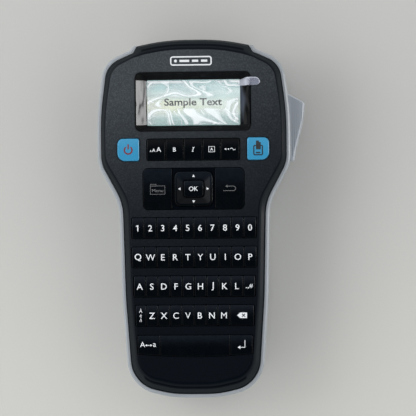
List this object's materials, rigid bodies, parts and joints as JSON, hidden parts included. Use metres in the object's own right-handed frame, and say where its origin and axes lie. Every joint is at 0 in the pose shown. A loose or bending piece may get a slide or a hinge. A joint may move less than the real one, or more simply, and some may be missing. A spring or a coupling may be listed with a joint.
{
  "type": "label maker",
  "caption": "Hand-held label maker with a recessed display, letter keyboard, tape cassette bay and a side lever that cuts the label.",
  "frame": {"origin": "on the flat back, under the middle of the body's width and length", "axes": "+Z out of the keyboard face, +Y towards the label exit, +X to the right of the keyboard"},
  "size_m": [0.119, 0.2065, 0.0513],
  "materials": {
    "front_shell": "fine-textured charcoal plastic",
    "rear_shell": "light grey satin plastic",
    "key_rubber": "soft-touch black",
    "key_blue": "satin blue plastic",
    "bezel_gloss": "polished black",
    "window_clear": "clear acrylic",
    "film_clear": "thin clear film",
    "lcd": "reflective liquid crystal panel",
    "white_plastic": "moulded nylon",
    "grey_plastic": "moulded plastic",
    "board_green": "solder-masked fibreglass board",
    "silicone": "silicone rubber",
    "black_rubber": "moulded rubber",
    "steel": "plain steel",
    "nickel": "nickel plated",
    "cell_wrap": "printed plastic wrap over a steel can",
    "cassette_plastic": "smooth black plastic",
    "label_white": "laminated white tape",
    "ribbon_black": "inked ribbon",
    "ceramic": "glazed ceramic",
    "lever_grey": "mid grey satin plastic"
  },
  "bodies": {
    "housing": {"front_housing": "front_shell", "rear_housing": "rear_shell", "display_bezel": "bezel_gloss", "display_window": "window_clear", "display_film": "film_clear", "display_panel": "lcd", "display_holder": "white_plastic", "main_board": "board_green", "keypad_mat": "silicone", "housing_screws": "steel", "board_screws": "steel", "battery_tray": "grey_plastic", "aaa_cells": "cell_wrap", "battery_contacts": "nickel", "power_jack": "cassette_plastic", "chassis": "grey_plastic", "cassette_shell": "cassette_plastic", "label_strip": "label_white", "print_head": "ceramic", "head_bracket": "steel", "drive_motor": "steel", "lever_pin": "steel", "return_spring": "steel", "cutter_anvil": "steel"},
    "nav_gimbal": {"nav_gimbal": "grey_plastic"},
    "nav_ring": {"nav_ring": "key_rubber"},
    "cutter_lever": {"cutter_lever": "lever_grey"},
    "blade_slide": {"blade_carriage": "grey_plastic", "cutter_blade": "steel"},
    "cassette_door": {"cassette_door": "rear_shell"},
    "battery_door": {"battery_door": "rear_shell"},
    "idler": {"idler_gear": "white_plastic"},
    "motor_rotor": {"motor_pinion": "white_plastic", "motor_core": "steel"},
    "platen": {"platen_roller": "black_rubber", "platen_shaft": "steel", "platen_gear": "white_plastic"},
    "takeup": {"takeup_spindle": "white_plastic", "takeup_spool": "ribbon_black"},
    "tape_roll": {"tape_roll": "label_white"},
    "ribbon_spool": {"ribbon_spool": "ribbon_black"},
    "power_key": {"power_key": "key_blue"},
    "print_key": {"print_key": "key_blue"},
    "text_size_key": {"text_size_key": "key_rubber"},
    "bold_key": {"bold_key": "key_rubber"},
    "italic_key": {"italic_key": "key_rubber"},
    "frame_key": {"frame_key": "key_rubber"},
    "symbol_key": {"symbol_key": "key_rubber"},
    "menu_key": {"menu_key": "key_rubber"},
    "back_key": {"back_key": "key_rubber"},
    "ok_key": {"ok_key": "key_rubber"},
    "number_keys": {"number_keys": "key_rubber"},
    "top_letter_keys": {"top_letter_keys": "key_rubber"},
    "middle_letter_keys": {"middle_letter_keys": "key_rubber"},
    "bottom_letter_keys": {"bottom_letter_keys": "key_rubber"},
    "accent_key": {"accent_key": "key_rubber"},
    "backspace_key": {"backspace_key": "key_rubber"},
    "caps_key": {"caps_key": "key_rubber"},
    "space_bar": {"space_bar": "key_rubber"},
    "enter_key": {"enter_key": "key_rubber"}
  },
  "joints": [
    {"name": "power_key_press", "type": "slide", "parent": "housing", "child": "power_key", "axis": [0, 0, -1], "range_m": [0, 0.001], "stiffness_N_per_m": 600, "springref_m": -0.0006},
    {"name": "print_key_press", "type": "slide", "parent": "housing", "child": "print_key", "axis": [0, 0, -1], "range_m": [0, 0.001], "stiffness_N_per_m": 600, "springref_m": -0.0006},
    {"name": "text_size_key_press", "type": "slide", "parent": "housing", "child": "text_size_key", "axis": [0, 0, -1], "range_m": [0, 0.001], "stiffness_N_per_m": 600, "springref_m": -0.0006},
    {"name": "bold_key_press", "type": "slide", "parent": "housing", "child": "bold_key", "axis": [0, 0, -1], "range_m": [0, 0.001], "stiffness_N_per_m": 600, "springref_m": -0.0006},
    {"name": "italic_key_press", "type": "slide", "parent": "housing", "child": "italic_key", "axis": [0, 0, -1], "range_m": [0, 0.001], "stiffness_N_per_m": 600, "springref_m": -0.0006},
    {"name": "frame_key_press", "type": "slide", "parent": "housing", "child": "frame_key", "axis": [0, 0, -1], "range_m": [0, 0.001], "stiffness_N_per_m": 600, "springref_m": -0.0006},
    {"name": "symbol_key_press", "type": "slide", "parent": "housing", "child": "symbol_key", "axis": [0, 0, -1], "range_m": [0, 0.001], "stiffness_N_per_m": 600, "springref_m": -0.0006},
    {"name": "menu_key_press", "type": "slide", "parent": "housing", "child": "menu_key", "axis": [0, 0, -1], "range_m": [0, 0.0008], "stiffness_N_per_m": 600, "springref_m": -0.0006},
    {"name": "back_key_press", "type": "slide", "parent": "housing", "child": "back_key", "axis": [0, 0, -1], "range_m": [0, 0.0008], "stiffness_N_per_m": 600, "springref_m": -0.0006},
    {"name": "ok_key_press", "type": "slide", "parent": "housing", "child": "ok_key", "axis": [0, 0, -1], "range_m": [0, 0.001], "stiffness_N_per_m": 600, "springref_m": -0.0006},
    {"name": "number_keys_press", "type": "slide", "parent": "housing", "child": "number_keys", "axis": [0, 0, -1], "range_m": [0, 0.001], "stiffness_N_per_m": 600, "springref_m": -0.0006},
    {"name": "top_letter_keys_press", "type": "slide", "parent": "housing", "child": "top_letter_keys", "axis": [0, 0, -1], "range_m": [0, 0.001], "stiffness_N_per_m": 600, "springref_m": -0.0006},
    {"name": "middle_letter_keys_press", "type": "slide", "parent": "housing", "child": "middle_letter_keys", "axis": [0, 0, -1], "range_m": [0, 0.001], "stiffness_N_per_m": 600, "springref_m": -0.0006},
    {"name": "bottom_letter_keys_press", "type": "slide", "parent": "housing", "child": "bottom_letter_keys", "axis": [0, 0, -1], "range_m": [0, 0.001], "stiffness_N_per_m": 600, "springref_m": -0.0006},
    {"name": "accent_key_press", "type": "slide", "parent": "housing", "child": "accent_key", "axis": [0, 0, -1], "range_m": [0, 0.001], "stiffness_N_per_m": 600, "springref_m": -0.0006},
    {"name": "backspace_key_press", "type": "slide", "parent": "housing", "child": "backspace_key", "axis": [0, 0, -1], "range_m": [0, 0.001], "stiffness_N_per_m": 600, "springref_m": -0.0006},
    {"name": "caps_key_press", "type": "slide", "parent": "housing", "child": "caps_key", "axis": [0, 0, -1], "range_m": [0, 0.001], "stiffness_N_per_m": 600, "springref_m": -0.0006},
    {"name": "space_bar_press", "type": "slide", "parent": "housing", "child": "space_bar", "axis": [0, 0, -1], "range_m": [0, 0.001], "stiffness_N_per_m": 600, "springref_m": -0.0006},
    {"name": "enter_key_press", "type": "slide", "parent": "housing", "child": "enter_key", "axis": [0, 0, -1], "range_m": [0, 0.001], "stiffness_N_per_m": 600, "springref_m": -0.0006},
    {"name": "nav_side_tilt", "type": "hinge", "parent": "housing", "child": "nav_gimbal", "pos_m": [0, 0.0175, 0.0442], "axis": [0, 1, 0], "range_deg": [-2.5, 2.5], "stiffness_Nm_per_rad": 0.4},
    {"name": "nav_up_tilt", "type": "hinge", "parent": "nav_gimbal", "child": "nav_ring", "pos_m": [0, 0.0175, 0.0442], "axis": [1, 0, 0], "range_deg": [-2.5, 2.5], "stiffness_Nm_per_rad": 0.4},
    {"name": "cutter_lever_swing", "type": "hinge", "parent": "housing", "child": "cutter_lever", "pos_m": [0.046, 0.031, 0.024], "axis": [0, 0, 1], "range_deg": [0, 5], "stiffness_Nm_per_rad": 1.5, "springref_deg": -5.73},
    {"name": "blade_travel", "type": "slide", "parent": "housing", "child": "blade_slide", "axis": [-1, 0, 0], "range_m": [0, 0.0056]},
    {"name": "cassette_door_hinge", "type": "hinge", "parent": "housing", "child": "cassette_door", "pos_m": [0, 0.0352, 0.0012], "axis": [-1, 0, 0], "range_deg": [0, 95]},
    {"name": "battery_door_hinge", "type": "hinge", "parent": "housing", "child": "battery_door", "pos_m": [0, -0.083, 0.00296], "axis": [-1, 0, 0], "range_deg": [0, 70]},
    {"name": "idler_spin", "type": "hinge", "parent": "housing", "child": "idler", "pos_m": [0.00254, 0.08179, 0.025], "axis": [0, 0, 1], "continuous": true},
    {"name": "motor_spin", "type": "hinge", "parent": "housing", "child": "motor_rotor", "pos_m": [-0.008, 0.0896, 0.025], "axis": [0, 0, 1], "continuous": true},
    {"name": "platen_spin", "type": "hinge", "parent": "housing", "child": "platen", "pos_m": [0.0175, 0.0878, 0.025], "axis": [0, 0, 1], "continuous": true},
    {"name": "takeup_spin", "type": "hinge", "parent": "housing", "child": "takeup", "pos_m": [0.00058, 0.06781, 0.025], "axis": [0, 0, 1], "continuous": true},
    {"name": "tape_roll_spin", "type": "hinge", "parent": "housing", "child": "tape_roll", "pos_m": [-0.017, 0.0548, 0.025], "axis": [0, 0, 1], "continuous": true},
    {"name": "ribbon_spin", "type": "hinge", "parent": "housing", "child": "ribbon_spool", "pos_m": [0.005, 0.052, 0.025], "axis": [0, 0, 1], "continuous": true}
  ],
  "couplings": [
    {"joint": "blade_travel", "follows": "cutter_lever_swing", "m_per_rad": 0.0622},
    {"joint": "motor_spin", "follows": "idler_spin", "ratio": -3.3333},
    {"joint": "platen_spin", "follows": "idler_spin", "ratio": -1.6667},
    {"joint": "takeup_spin", "follows": "idler_spin", "ratio": -2.5},
    {"joint": "tape_roll_spin", "follows": "idler_spin", "ratio": 0.353},
    {"joint": "ribbon_spin", "follows": "idler_spin", "ratio": -2.25}
  ]
}
